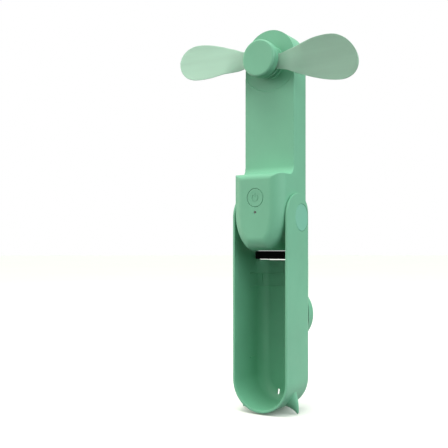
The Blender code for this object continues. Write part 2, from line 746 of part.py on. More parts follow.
def rotor_point(x, depth, height):
    """A place on the parked rotor, its width along the line of the blades and its height across it."""
    turned_x = x * cos(ROTOR_TURN) + height * sin(ROTOR_TURN)
    turned_height = height * cos(ROTOR_TURN) - x * sin(ROTOR_TURN)
    return point(turned_x, depth, MOTOR_HEIGHT + turned_height)


def make_rotor():
    hub = point(0, 0, MOTOR_HEIGHT)
    facing = (0, 1, 0)
    shaft = [(HUB_CAP_BACK + 0.9, SHAFT_RADIUS), (MOTOR_BACK - 2.5, SHAFT_RADIUS)]
    dress(turned("motor_shaft", hub, facing, shaft, 16), material("steel", STEEL, 0.3, 1.0))

    profile = [(HUB_CAP_BACK + 0.2, HUB_POST), (HUB_FRONT, HUB_POST), (HUB_FRONT, HUB_RADIUS)]
    profile += [(HUB_BACK, HUB_RADIUS)]
    carrier = turned("blade_hub", hub, facing, profile, 40)
    bore = SHAFT_RADIUS + RUNNING_GAP
    cut(carrier, turned("bore", hub, facing, [(HUB_CAP_BACK + 0.65, bore), (HUB_BACK + 2, bore)], 16))
    for name, side in (("left", -1), ("right", 1)):
        place = rotor_point(side * BLADE_PIVOT, 0, 0)
        pin_hole = [(HUB_FRONT - 1, 1.1), (HUB_BACK - 0.4, 1.1)]
        cut(carrier, turned("pin_hole", place, facing, pin_hole, 14))
        pin = [(HUB_CAP_BACK + 0.2, 0.95), (HUB_BACK - 0.6, 0.95)]
        dress(turned("blade_pin_" + name, place, facing, pin, 14), material("steel", STEEL, 0.3, 1.0))
    dress(carrier, material("hub_plastic", GREEN, 0.42))

    profile = [(HUB_CAP_FRONT, HUB_CAP_RADIUS - HUB_CAP_EDGE)]
    for t in steps(4)[1:]:
        turn = t * pi / 2
        inwards = HUB_CAP_EDGE * (1 - sin(turn))
        profile.append((HUB_CAP_FRONT + HUB_CAP_EDGE * (1 - cos(turn)), HUB_CAP_RADIUS - inwards))
    profile.append((HUB_CAP_BACK, HUB_CAP_RADIUS))
    dress(turned("hub_cap", hub, facing, profile, 48), material("hub_cap_plastic", GREEN, 0.4))


def smooth_share(value, low, high):
    """0 below low, 1 above high, and a smooth rise between them."""
    t = min(1.0, max(0.0, (value - low) / (high - low)))
    return t * t * (3 - 2 * t)


def blade_half_chord(reach):
    """Half the blade's width at a distance from the motor's axis: tab, neck, paddle and round tip."""
    if reach < BLADE_PIVOT:
        return sqrt(max(0.0, BLADE_TAB ** 2 - (BLADE_PIVOT - reach) ** 2))
    if reach < BLADE_WIDEST:
        neck = BLADE_TAB + (BLADE_NECK - BLADE_TAB) * smooth_share(reach, BLADE_PIVOT, 14)
        rise = sin(pi / 2 * max(0.0, reach - 10) / (BLADE_WIDEST - 10)) ** 1.4
        return neck + (BLADE_HALF_CHORD - neck) * rise
    end = (reach - BLADE_WIDEST) / (BLADE_LENGTH - BLADE_WIDEST)
    return BLADE_HALF_CHORD * max(0.0, 1 - end ** 2.1) ** 0.5


def blade_reaches():
    """Distances at which the blade is cut into sections, closer together at its ends."""
    inner = [BLADE_PIVOT - BLADE_TAB * cos(t * pi / 2) * 0.995 for t in steps(5)]
    middle = [BLADE_PIVOT + (BLADE_WIDEST - BLADE_PIVOT) * t for t in steps(9)[1:]]
    tip = [BLADE_WIDEST + (BLADE_LENGTH - BLADE_WIDEST) * sin(t * pi / 2) * 0.999 for t in steps(7)[1:]]
    return inner + middle + tip


def blade_section(side, reach, level):
    """The closed outline of one section: thin, a little hollow, and turned by the pitch."""
    half = blade_half_chord(reach)
    pitch = BLADE_PITCH * smooth_share(reach, 9, 30)
    shift = BLADE_ROOT_OFFSET * smooth_share(reach, 9, 18)
    shift += BLADE_TIP_OFFSET * smooth_share(reach, 20, BLADE_LENGTH)
    hollow = 1.0 * smooth_share(reach, 12, 40)
    chords = [-1 + 2 * t for t in steps(6)]
    front = []
    back = []
    for share in chords:
        across = shift + half * share
        thick = BLADE_THICKNESS / 2 * (1 - 0.45 * share * share)
        bow = hollow * (half / BLADE_HALF_CHORD) ** 2 * (share * share - 0.5)
        depth = level - across * sin(pitch) - bow
        front.append((side * reach, depth - thick, side * across * cos(pitch)))
        back.append((side * reach, depth + thick, side * across * cos(pitch)))
    return [rotor_point(*place) for place in front + back[::-1]]


def make_blade(name, side):
    """A soft paddle with an eye at its root that turns on the pin."""
    level = BLADE_DEPTHS[name]
    blade = loft("blade_" + name, [blade_section(side, reach, level) for reach in blade_reaches()])
    eye = rotor_point(side * BLADE_PIVOT, 0, 0)
    cut(blade, turned("eye", eye, (0, 1, 0), [(level - 3, 1.2), (level + 3, 1.2)], 14))
    dress(blade, material("blade_plastic", BLADE_GREEN, 0.4))
    return blade


def make_button():
    """The round power button, with a flange that keeps it behind the chin's front wall."""
    flange = CHIN_FRONT + BODY_WALL + GAP
    profile = [(CHIN_FRONT + 0.05, BUTTON_RADIUS - 0.3), (CHIN_FRONT + 0.35, BUTTON_RADIUS)]
    profile += [(flange, BUTTON_RADIUS), (flange, BUTTON_FLANGE), (flange + 0.8, BUTTON_FLANGE)]
    button = turned("power_button", point(0, 0, BUTTON_HEIGHT), (0, 1, 0), profile, 40)
    dress(button, material("button_plastic", GREEN, 0.4))


def set_pivots():
    """Hang each moving piece on an empty that stands on its joint's axis."""
    hinge = empty("fan_body_pivot", point(0, HINGE_DEPTH, 0))
    spin = empty("rotor_pivot", point(0, HUB_BACK, MOTOR_HEIGHT), hinge)
    press = empty("button_guide", point(0, CHIN_FRONT, BUTTON_HEIGHT), hinge)
    eyes = {
        name: empty(f"blade_{name}_pivot", rotor_point(side * BLADE_PIVOT, BLADE_DEPTHS[name], 0), spin)
        for name, side in (("right", 1), ("left", -1))
    }
    on_handle = ("handle", "rear_pad", "hinge_cap", "hinge_pin", "retaining_clip")
    on_rotor = ("motor_shaft", "blade_hub", "hub_cap", "blade_pin_left", "blade_pin_right")
    for piece in [item for item in bpy.data.objects if item.type == "MESH"]:
        if piece.name.startswith(on_handle):
            continue
        if piece.name in on_rotor:
            hang(piece, spin)
        elif piece.name in ("blade_right", "blade_left"):
            hang(piece, eyes[piece.name.removeprefix("blade_")])
        elif piece.name == "power_button":
            hang(piece, press)
        else:
            hang(piece, hinge)


def main():
    clear_scene()
    make_handle_shell()
    make_rear_pad()
    make_front_shell()
    make_rear_cover()
    make_stop_bar()
    make_charge_port()
    for name, side in (("left", -1), ("right", 1)):
        make_hinge_hardware(name, side)
        make_hinge_bush(name, side)
        make_blade(name, side)
    make_motor()
    make_electrics()
    make_leads()
    make_rotor()
    make_button()
    set_pivots()


main()
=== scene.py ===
"""Folding handheld electric fan, open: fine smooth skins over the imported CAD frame, materials, light, camera.

Lengths are in millimetres until point() turns them into metres. Depth runs back from the handle's rim and
height up from the hinge axis. Both planes, and the sizes that the pieces share, are read from the CAD frame.
"""

import json
from math import asin, atan2, cos, pi, radians, sin, sqrt

import bmesh
import bpy
from mathutils import Matrix, Vector


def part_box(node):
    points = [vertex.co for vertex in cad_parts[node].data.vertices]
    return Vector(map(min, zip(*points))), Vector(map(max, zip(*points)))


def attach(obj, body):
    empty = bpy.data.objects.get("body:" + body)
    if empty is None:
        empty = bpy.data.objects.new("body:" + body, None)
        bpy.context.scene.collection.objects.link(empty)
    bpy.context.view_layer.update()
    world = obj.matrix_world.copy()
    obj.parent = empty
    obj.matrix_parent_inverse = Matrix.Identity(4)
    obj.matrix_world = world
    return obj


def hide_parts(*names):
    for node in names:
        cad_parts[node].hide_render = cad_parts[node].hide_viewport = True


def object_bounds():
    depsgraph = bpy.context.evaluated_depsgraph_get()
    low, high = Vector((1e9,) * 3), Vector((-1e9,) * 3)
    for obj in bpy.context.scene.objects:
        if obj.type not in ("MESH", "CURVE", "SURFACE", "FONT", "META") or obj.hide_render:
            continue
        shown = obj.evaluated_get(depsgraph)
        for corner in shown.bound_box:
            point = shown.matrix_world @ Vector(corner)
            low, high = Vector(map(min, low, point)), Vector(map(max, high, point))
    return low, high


MM = 0.001

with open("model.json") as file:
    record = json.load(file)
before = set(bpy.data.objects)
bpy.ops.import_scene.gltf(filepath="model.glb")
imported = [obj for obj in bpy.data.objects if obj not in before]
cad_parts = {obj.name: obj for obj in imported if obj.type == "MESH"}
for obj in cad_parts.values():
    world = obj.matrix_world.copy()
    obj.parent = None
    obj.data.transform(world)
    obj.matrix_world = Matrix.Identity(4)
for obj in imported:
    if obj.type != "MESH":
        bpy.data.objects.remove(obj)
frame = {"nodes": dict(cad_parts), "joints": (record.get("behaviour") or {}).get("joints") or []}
CAD_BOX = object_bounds()
JOINTS = {joint["name"]: Vector(joint["pos_m"]) for joint in frame["joints"]}


def size_of(node):
    """The corners of a CAD node as widths, depths from the rim and heights from the hinge, in millimetres."""
    low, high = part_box(node)
    offset = Vector((0, RIM, HINGE_HEIGHT))
    return (low - offset) / MM, (high - offset) / MM


HINGE_HEIGHT = JOINTS["body_fold"].z
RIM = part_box("handle_shell")[0].y
HANDLE_HIGH = size_of("handle_shell")[1]
BODY_LOW, BODY_HIGH = size_of("front_shell")
COVER_LOW, COVER_HIGH = size_of("rear_cover")
PAD_LOW, PAD_HIGH = size_of("rear_pad")
CAP_LOW, CAP_HIGH = size_of("hinge_cap_right")
HUB_CAP_LOW, HUB_CAP_HIGH = size_of("hub_cap")
HUB_LOW, HUB_HIGH = size_of("blade_hub")
BUTTON_LOW, BUTTON_HIGH = size_of("power_button")
LAMP_LOW, LAMP_HIGH = size_of("light_pipe")

# Handle
HANDLE_HALF = 20.0
HANDLE_DEPTH = HANDLE_HIGH.y
HANDLE_BOTTOM = -123.8
HANDLE_EDGE = 8.5
HANDLE_WALL = 1.5
HANDLE_END = HANDLE_BOTTOM + HANDLE_HALF
HANDLE_CUT_TOP = 22.0  # above the ears
HOLLOW_TOP = 45.0
HINGE_DEPTH = (JOINTS["body_fold"].y - RIM) / MM
EAR_RADIUS = HINGE_DEPTH
EAR_TOP = HANDLE_HIGH.z
LIP = 0.3  # rounding along the rim and the ears
CUTOUT_BOTTOM = -27.3
CUTOUT_CORNER = 1.8
RIB_HEIGHTS = (-36.4, -45.3)
SHORT_RIB_HEIGHT = -92.4
RIB_DEPTH_START = 18.5
RIB_PROUD = 0.6
RIB_THICKNESS = 0.9
HORN_DEPTH = 13.4
HORN_BASE_ANGLE = radians(52.5)
HORN_TIP_ANGLE = radians(45.2)
HORN_BASE_RADIUS = 18.6
HORN_TIP_RADIUS = 28.8
HORN_HALF_WIDTH = 6.4
HORN_HALF_DEPTH = 3.6
DRAIN_X = -5.0
DRAIN_HEIGHT = -116.5
DRAIN_HALF_WIDTH = 0.8
DRAIN_HALF_LENGTH = 2.0

# Hinge
CAP_RADIUS = (CAP_HIGH.z - CAP_LOW.z) / 2
CAP_DEPTH = (CAP_HIGH.y + CAP_LOW.y) / 2
CAP_INSIDE = CAP_LOW.x
CAP_DISH = 0.3
PIN_RADIUS = 2.0
BUSH_RADIUS = 3.6
FIT = 0.2  # gap round pins, caps and the button

# Fan body
BODY_HALF = BODY_HIGH.x
BODY_WALL = 1.6
CHIN_FRONT = BODY_LOW.y
CHIN_EDGE = 8.5
CHIN_BOTTOM = BODY_LOW.z
SHELF_HEIGHT = 27.0
SHELF_EDGE = 4.0
SHELF_FILLET = 5.7
ARM_FACE = 12.2
ARM_EDGE = 0.4
BODY_BACK = COVER_HIGH.y
BACK_EDGE = 4.5
END_ELLIPSE_HEIGHT = 3.0
END_ELLIPSE_WIDE = 15.5
END_ELLIPSE_TALL = 25.0
HEAD_HEIGHT = BODY_HIGH.z - BODY_HALF
MOTOR_HEIGHT = (JOINTS["fan_spin"].z - HINGE_HEIGHT) / MM
SEAM_FRONT = BODY_HIGH.y
SEAM_BACK = COVER_LOW.y
DISH_RADIUS = 21.3
DISH_DEPTH = 0.55
NECK_RADIUS = 9.0
NECK_FRONT = 9.6
SCREW_OFFSET = 5.6
SCREW_HEAD_HOLE = 1.9
SCREW_SHANK_HOLE = 1.1
BEARING_HOLE = 3.3
MOTOR_WALL_BACK = 14.9

# Rotor and blades
HUB_CAP_RADIUS = HUB_CAP_HIGH.x
HUB_CAP_EDGE = 1.3
HUB_RADIUS = HUB_HIGH.x
RIGHT_EYE = JOINTS["blade_right_fold"] - JOINTS["fan_spin"]
ROTOR_TURN = atan2(-RIGHT_EYE.z, RIGHT_EYE.x)
BLADE_PIVOT = RIGHT_EYE.xz.length / MM
BLADE_TAB = 4.6
BLADE_NECK = 5.0
BLADE_LENGTH = 64.93
BLADE_HALF_CHORD = 13.27
BLADE_WIDEST = 49.5
BLADE_ROOT_OFFSET = 1.5
BLADE_TIP_OFFSET = 3.0
BLADE_SKEW = 0.27
BLADE_PITCH = radians(19.0)
BLADE_PITCH_START = 14  # far enough out for the folded left blade's root to lie nearly flat behind the cap
BLADE_THICKNESS = 0.9
BLADE_DEPTHS = {name: (JOINTS[f"blade_{name}_fold"].y - RIM) / MM for name in ("left", "right")}

# Button, lamp, charging port
BUTTON_HEIGHT = (JOINTS["button_press"].z - HINGE_HEIGHT) / MM
BUTTON_RADIUS = 5.7
LAMP_HEIGHT = (LAMP_HIGH.z + LAMP_LOW.z) / 2
LAMP_RADIUS = LAMP_HIGH.x
PORT_HALF = 4.4
PORT_HALF_THICK = 1.6
PORT_DEPTH = 15.0

# Colours, and the light from each height: 0 is straight below, 1 is straight above
MINT = (0.18, 0.485, 0.325)
PALE_MINT = (0.47, 0.7, 0.585)
SKY = (
    (0.0, (0.14, 0.15, 0.13)),
    (0.47, (0.15, 0.16, 0.14)),
    (0.56, (0.36, 0.38, 0.34)),
    (0.8, (0.8, 0.84, 0.76)),
    (1.0, (1.75, 1.85, 1.7)),
)
SKY_PEAK = 2.5

# Camera
CAMERA_AZIMUTH = radians(31.0)
CAMERA_DISTANCE = 0.43
CAMERA_BELOW_HINGE = 0.0205


def point(x, depth, height):
    """The place, in metres, that a width, a depth behind the rim and a height above the hinge name."""
    return Vector((x * MM, RIM + depth * MM, HINGE_HEIGHT + height * MM))


def steps(count):
    return [i / count for i in range(count + 1)]


# ---------------------------------------------------------------- mesh helpers


def finish_mesh(name, mesh):
    bmesh.ops.remove_doubles(mesh, verts=mesh.verts, dist=0.002 * MM)
    bmesh.ops.recalc_face_normals(mesh, faces=mesh.faces)
    data = bpy.data.meshes.new(name)
    mesh.to_mesh(data)
    mesh.free()
    made = bpy.data.objects.new(name, data)
    bpy.context.collection.objects.link(made)
    return made


def loft(name, loops):
    """A closed solid whose skin runs from loop to loop, each with the same number of points."""
    mesh = bmesh.new()
    rings = [[mesh.verts.new(p) for p in loop] for loop in loops]
    for low, high in zip(rings, rings[1:]):
        count = len(low)
        for i in range(count):
            j = (i + 1) % count
            mesh.faces.new((low[i], low[j], high[j], high[i]))
    mesh.faces.new(rings[0])
    mesh.faces.new(rings[-1])
    return finish_mesh(name, mesh)


def turned(name, centre, axis, profile, sides=64):
    """A solid of revolution: profile lists (distance along axis, radius), from one end to the other."""
    along = Vector(axis).normalized()
    across = Vector((0, 0, 1)) if abs(along.z) < 0.5 else Vector((1, 0, 0))
    other = along.cross(across)
    loops = []
    for distance, radius in profile:
        middle = centre + along * distance * MM
        turns = [2 * pi * i / sides for i in range(sides)]
        loops.append([middle + (across * cos(t) + other * sin(t)) * radius * MM for t in turns])
    return loft(name, loops)


def arc(middle, radius, first, last, count=5):
    """Points (distance, radius) round a quarter or so of a circle, for a turned profile's soft edge."""
    turns = [radians(first + (last - first) * t) for t in steps(count)]
    return [(middle[0] + radius * cos(t), middle[1] + radius * sin(t)) for t in turns]


def prism(name, outline, shift):
    return loft(name, [outline, [p + shift for p in outline]])


def box(name, x, depth, height):
    """A box between two widths, two depths and two heights."""
    outline = [
        point(x[0], depth[0], height[0]),
        point(x[1], depth[0], height[0]),
        point(x[1], depth[0], height[1]),
        point(x[0], depth[0], height[1]),
    ]
    return prism(name, outline, Vector((0, (depth[1] - depth[0]) * MM, 0)))


def combine(target, tool, operation):
    """Boolean the tool into the target, and drop the tool."""
    modifier = target.modifiers.new(operation, "BOOLEAN")
    modifier.operation = operation
    modifier.solver = "EXACT"
    modifier.object = tool
    graph = bpy.context.evaluated_depsgraph_get()
    result = bpy.data.meshes.new_from_object(target.evaluated_get(graph))
    target.modifiers.clear()
    target.data = result
    bpy.data.objects.remove(tool)


def cut(target, tool):
    combine(target, tool, "DIFFERENCE")


def add(target, tool):
    combine(target, tool, "UNION")


def merge_flat(piece):
    """Join faces that lie in one plane, so that no slivers are left to shade unevenly."""
    mesh = bmesh.new()
    mesh.from_mesh(piece.data)
    bmesh.ops.dissolve_limit(mesh, angle_limit=radians(0.05), verts=mesh.verts, edges=mesh.edges)
    mesh.to_mesh(piece.data)
    mesh.free()


def show(piece, look, body, node, crease=32):
    """Give a piece its look, smooth shading with sharp edges and its body, and hide the CAD node it stands for.
    """
    piece.data.materials.clear()
    piece.data.materials.append(look)
    piece.data.shade_smooth()
    piece.data.set_sharp_from_angle(angle=radians(crease))
    even = piece.modifiers.new("even_normals", "WEIGHTED_NORMAL")
    even.keep_sharp = True
    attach(piece, body)
    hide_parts(node)
    return piece


# ---------------------------------------------------------------- handle


def stadium(inset, depth, top, ends=72):
    """The handle's front outline, moved inwards by inset: a round end below, straight sides up to top."""
    half = HANDLE_HALF - inset
    turns = [pi + pi * t for t in steps(ends)]
    outline = [point(half * cos(t), depth, HANDLE_END + half * sin(t)) for t in turns]
    return outline + [point(half, depth, top), point(-half, depth, top)]


def rim_loops(inset, top, way):
    """The rim's rounding: outlines that spread (way 1) or draw in (way -1) as they go back."""
    turns = [t * pi / 2 for t in steps(4)]
    return [stadium(inset + way * (LIP - LIP * sin(t)), LIP - LIP * cos(t), top) for t in turns]


def back_loops(inset, top, count=14):
    """The straight sides and the round edge at the back, on the handle's skin or inset from it."""
    edge = HANDLE_EDGE - inset
    start = HANDLE_DEPTH - HANDLE_EDGE
    turns = [t * pi / 2 for t in steps(count)]
    return [stadium(inset + edge * (1 - cos(t)), start + edge * sin(t), top) for t in turns]


def outer_half(depth):
    """Half the handle's width at a depth, where the back edge's rounding draws it in."""
    beyond = min(HANDLE_EDGE, max(0.0, depth - HANDLE_DEPTH + HANDLE_EDGE))
    return HANDLE_HALF - HANDLE_EDGE + sqrt(HANDLE_EDGE ** 2 - beyond ** 2)


def ear_outline(inset):
    """The handle from the side: an arch round the hinge, and a step where the back wall is cut away."""
    back = HINGE_DEPTH + EAR_RADIUS
    beyond = HANDLE_DEPTH + 2
    below = HANDLE_BOTTOM - 10
    outline = [(-1.0, below), (beyond, below), (beyond, CUTOUT_BOTTOM - inset)]
    corner = CUTOUT_CORNER + inset
    for t in steps(8):
        turn = -pi / 2 - t * pi / 2
        depth = back + CUTOUT_CORNER + corner * cos(turn)
        outline.append((depth, CUTOUT_BOTTOM + CUTOUT_CORNER + corner * sin(turn)))
    for t in steps(56):
        turn = pi * t
        outline.append((HINGE_DEPTH + (EAR_RADIUS - inset) * cos(turn), (EAR_TOP - inset) * sin(turn)))
    outline.append((-1.0, -0.4))
    return outline


def ear_solid():
    """What is kept of the channel, seen from the side, with its edges rounded at both faces of each ear."""
    stations = [(-9.0, LIP)]
    stations += [(LIP * (1 - cos(t * pi / 2)), LIP * (1 - sin(t * pi / 2))) for t in steps(4)]
    stations += [(HANDLE_WALL - LIP + LIP * sin(t * pi / 2), LIP * (1 - cos(t * pi / 2))) for t in steps(4)]
    right = []
    for under, inset in stations:
        outline = ear_outline(inset)
        right.append([(outer_half(depth) - under, depth, height) for depth, height in outline])
    left = [[(-x, depth, height) for x, depth, height in loop] for loop in reversed(right)]
    return loft("kept", [[point(*p) for p in loop] for loop in right + left])


def cutout_prism(half):
    """The gap between the ears that the chin swings through, with rounded lower corners."""
    outline = []
    for side in (-1, 1):
        for t in steps(10):
            turn = (t if side < 0 else 1 - t) * pi / 2
            x = side * (half - CUTOUT_CORNER + CUTOUT_CORNER * cos(turn))
            outline.append((x, CUTOUT_BOTTOM + CUTOUT_CORNER * (1 - sin(turn))))
    outline += [(half, 40.0), (-half, 40.0)]
    return prism("cutout", [point(x, 26.0, z) for x, z in outline], Vector((0, 14 * MM, 0)))


def channel_rib(height):
    """A rib round the inside of the channel, with a soft crest, from one side wall to the other."""

    def run(proud, level):
        inset = HANDLE_WALL + proud
        half = HANDLE_HALF - inset
        edge = HANDLE_EDGE - inset
        start = HANDLE_DEPTH - HANDLE_EDGE
        right = [(half, RIB_DEPTH_START + 0.6 - proud)]
        for t in steps(14):
            turn = t * pi / 2
            right.append((half - edge * (1 - cos(turn)), start + edge * sin(turn)))
        return [point(x, d, level) for x, d in right + [(-x, d) for x, d in reversed(right)]]

    half_thick = RIB_THICKNESS / 2
    section = [(-0.3, -half_thick), (0.35, -half_thick)]
    section += [(0.35 + 0.25 * sin(t * pi), -0.25 * cos(t * pi)) for t in steps(6)]
    section += [(0.35, half_thick), (-0.3, half_thick)]
    runs = [run(proud, height + level) for proud, level in section]
    return loft("rib", [list(places) for places in zip(*runs)])


def short_rib(side):
    """One of two short ribs low on the side walls."""
    wall = HANDLE_HALF - HANDLE_WALL
    x = sorted((side * (wall + 0.3), side * (wall - RIB_PROUD)))
    low = SHORT_RIB_HEIGHT - RIB_THICKNESS / 2
    return box("short_rib", x, (RIB_DEPTH_START, 24.5), (low, low + RIB_THICKNESS))


def horn(side):
    """A horn with a flared foot: ellipses that shrink along a curve from the round end to a blunt tip."""
    loops = []
    for t in steps(18):
        angle = HORN_BASE_ANGLE + (HORN_TIP_ANGLE - HORN_BASE_ANGLE) * t ** 1.6
        reach = HORN_BASE_RADIUS + (HORN_TIP_RADIUS - HORN_BASE_RADIUS) * t
        size = (0.12 + 0.88 * (1 - t) ** 1.1) * sqrt(1 - max(0.0, (t - 0.9) / 0.1) ** 2 * 0.7)
        middle = Vector((side * reach * sin(angle), HORN_DEPTH, HANDLE_END - reach * cos(angle)))
        across = Vector((side * cos(angle), 0, sin(angle)))
        loop = []
        for i in range(28):
            turn = 2 * pi * i / 28
            place = middle + across * HORN_HALF_WIDTH * size * cos(turn)
            loop.append(point(place.x, place.y + HORN_HALF_DEPTH * size * sin(turn), place.z))
        loops.append(loop)
    return loft("horn", loops)


def drain_slot():
    wide = DRAIN_HALF_WIDTH
    straight = DRAIN_HALF_LENGTH - wide
    outline = [(wide * cos(pi * t), straight + wide * sin(pi * t)) for t in steps(16)]
    outline += [(-x, -height) for x, height in outline]
    places = [point(DRAIN_X + x, 24.0, DRAIN_HEIGHT + height) for x, height in outline]
    return prism("drain", places, Vector((0, 14 * MM, 0)))


def hinge_hole(name, radius, reach):
    centre = point(-reach, HINGE_DEPTH, 0)
    return turned(name, centre, (1, 0, 0), [(0, radius), (2 * reach, radius)], 40)


def make_handle(looks):
    outside = rim_loops(0.0, HANDLE_CUT_TOP, 1) + back_loops(0.0, HANDLE_CUT_TOP)
    hollow = [stadium(HANDLE_WALL - LIP, -4.0, HOLLOW_TOP)]
    hollow += rim_loops(HANDLE_WALL, HOLLOW_TOP, -1) + back_loops(HANDLE_WALL, HOLLOW_TOP)
    shell = loft("handle_skin", outside)
    combine(shell, ear_solid(), "INTERSECT")
    cut(shell, loft("hollow", hollow))
    cut(shell, cutout_prism(HANDLE_HALF - HANDLE_WALL))
    for height in RIB_HEIGHTS:
        add(shell, channel_rib(height))
    for side in (-1, 1):
        add(shell, short_rib(side))
        add(shell, horn(side))
        floor = point(side * CAP_INSIDE - side * 0.25, CAP_DEPTH, 0)
        pocket = [(0, CAP_RADIUS + FIT), (5, CAP_RADIUS + FIT)]
        cut(shell, turned("pocket", floor, (side, 0, 0), pocket, 96))
    cut(shell, drain_slot())
    cut(shell, hinge_hole("pin_hole", PIN_RADIUS + FIT, 30.0))
    show(shell, looks["handle_plastic"], "handle", "handle_shell")


def make_rear_pad(looks):
    """A disc on the handle's rounded back, with a soft edge and a shallow step round its flat face."""
    front = PAD_LOW.y
    radius = PAD_HIGH.x
    face = PAD_HIGH.y
    profile = [(front, radius), (face - 1.1, radius)]
    profile += arc((face - 1.1, radius - 1.1), 1.1, 90, 0, 8)[1:]
    profile += [(face, radius - 2.0), (face - 0.12, radius - 2.15), (face - 0.12, radius - 2.45)]
    profile += [(face, radius - 2.6)]
    middle = (PAD_HIGH.z + PAD_LOW.z) / 2
    pad = turned("rear_pad_skin", point(0, 0, middle), (0, 1, 0), profile, 112)
    around = [stadium(-0.3, -2.0, HANDLE_CUT_TOP)] + back_loops(-0.3, HANDLE_CUT_TOP)
    cut(pad, loft("handle_outside", around))
    show(pad, looks["pad_plastic"], "handle", "rear_pad")


def make_hinge_cap(looks, name, side):
    """A round cap that follows the ear's skin, dished a little inside a soft edge."""
    rings = [CAP_RADIUS * 0.86 * t for t in steps(12)[1:]]
    rings += [CAP_RADIUS - 0.35 + 0.35 * sin(t * pi / 2) for t in steps(4)]
    loops = []
    for radius in rings:
        share = min(1.0, radius / (CAP_RADIUS - 0.35))
        drop = CAP_DISH * (1 - share ** 2)
        if radius > CAP_RADIUS - 0.35:
            drop = 0.35 - sqrt(max(0.0, 0.35 ** 2 - (radius - CAP_RADIUS + 0.35) ** 2))
        loop = []
        for i in range(96):
            turn = 2 * pi * i / 96
            depth = CAP_DEPTH + radius * cos(turn)
            loop.append(point(side * (outer_half(depth) - drop), depth, radius * sin(turn)))
        loops.append(loop)
    places = [2 * pi * i / 96 for i in range(96)]
    foot = [(CAP_DEPTH + CAP_RADIUS * cos(t), CAP_RADIUS * sin(t)) for t in places]
    loops.append([point(side * CAP_INSIDE, depth, height) for depth, height in foot])
    cap = loft("hinge_cap_skin_" + name, loops)
    show(cap, looks["cap_plastic"], "handle", "hinge_cap_" + name)


# ---------------------------------------------------------------- fan body


def body_end(inset, depth):
    """The chin's lower outline from left to right: part of an ellipse each side of a flat end."""
    wide = END_ELLIPSE_WIDE - inset
    tall = END_ELLIPSE_TALL - inset
    middle = BODY_HALF - END_ELLIPSE_WIDE
    last = asin((END_ELLIPSE_HEIGHT - CHIN_BOTTOM - inset) / tall)
    right = []
    for t in steps(22):
        turn = last * (1 - t)
        right.append((middle + wide * cos(turn), END_ELLIPSE_HEIGHT - tall * sin(turn)))
    left = [(-x, height) for x, height in reversed(right)]
    return [point(x, depth, height) for x, height in left + right]


def body_top(inset, depth, shelf, lip):
    """The outline above the end: a shelf with small round corners, or the round head if shelf is None."""
    half = BODY_HALF - inset
    foot = SHELF_HEIGHT + SHELF_FILLET
    top = foot if shelf is None else shelf
    count = 56
    right = []
    for t in steps(4):
        turn = t * pi / 2
        draw = ARM_EDGE * (1 - cos(turn))
        right.append((half - (min(draw, lip) if shelf is None else draw), top - ARM_EDGE * (1 - sin(turn))))
    turns = [pi * t for t in steps(count)]
    if shelf is None:
        wide = half - lip
        middle = [(wide * cos(t), HEAD_HEIGHT + wide * sin(t)) for t in turns]
    else:
        middle = [((half - ARM_EDGE) * cos(t), top) for t in turns[1:-1]]
        middle = [(half - ARM_EDGE, top)] + middle + [(ARM_EDGE - half, top)]
    left = [(-x, height) for x, height in reversed(right)]
    return [point(x, depth, height) for x, height in right + middle + left]


def body_loop(inset, depth, shelf, lip=0.0):
    return body_end(inset, depth) + body_top(inset, depth, shelf, lip)


def body_levels(wall):
    """Loops of the fan body from its front to its widest, at the outer skin (wall 0) or inside it."""
    levels = []
    middle = CHIN_FRONT + CHIN_EDGE
    edge = CHIN_EDGE - wall
    for t in steps(22):
        turn = t * pi / 2
        depth = middle - edge * cos(turn)
        inset = wall + edge * (1 - sin(turn))
        lip = max(0.0, CHIN_FRONT + wall + SHELF_EDGE - depth)
        drop = SHELF_EDGE - sqrt(max(0.0, SHELF_EDGE ** 2 - lip ** 2))
        levels.append(body_loop(inset, depth, SHELF_HEIGHT - wall - drop))
    fillet_depth = ARM_FACE - SHELF_FILLET
    fillet_height = SHELF_HEIGHT + SHELF_FILLET
    radius = SHELF_FILLET + wall
    for t in steps(14):
        turn = t * pi / 2
        depth = fillet_depth + radius * sin(turn)
        levels.append(body_loop(wall, depth, fillet_height - radius * cos(turn)))
    for t in steps(4):
        turn = t * pi / 2
        lip = ARM_EDGE * (1 - sin(turn))
        depth = ARM_FACE + wall + ARM_EDGE * (1 - cos(turn))
        levels.append(body_loop(wall, depth, None, lip))
    return levels


def edge_turn(wall, depth):
    """How far round the back edge's arc a depth lies, in radians."""
    return asin((depth - BODY_BACK + BACK_EDGE) / (BACK_EDGE - wall))


def back_levels(wall, first, stop_turn, count):
    """Loops round the fan body's back edge, between two turns of its arc."""
    edge = BACK_EDGE - wall
    middle = BODY_BACK - BACK_EDGE
    levels = []
    for t in steps(count):
        turn = first + (stop_turn - first) * t
        levels.append(body_loop(wall + edge * (1 - cos(turn)), middle + edge * sin(turn), None))
    return levels


def make_front_shell(looks):
    """Chin, arm face and sides as one moulding, open at the back."""
    outside = body_levels(0.0) + back_levels(0.0, 0.0, edge_turn(0.0, SEAM_FRONT - 0.12), 8)
    lip = back_levels(0.12, edge_turn(0.12, SEAM_FRONT), edge_turn(0.12, SEAM_FRONT), 1)[:1]
    inside = body_levels(BODY_WALL) + back_levels(BODY_WALL, 0.0, edge_turn(BODY_WALL, SEAM_FRONT), 8)
    shell = loft("front_skin", outside + lip + inside[::-1])
    merge_flat(shell)
    shape_motor_seat(shell)
    open_chin(shell)
    cut(shell, hinge_hole("bush_hole", BUSH_RADIUS + FIT, 30.0))
    show(shell, looks["body_plastic"], "fan_body", "front_shell")


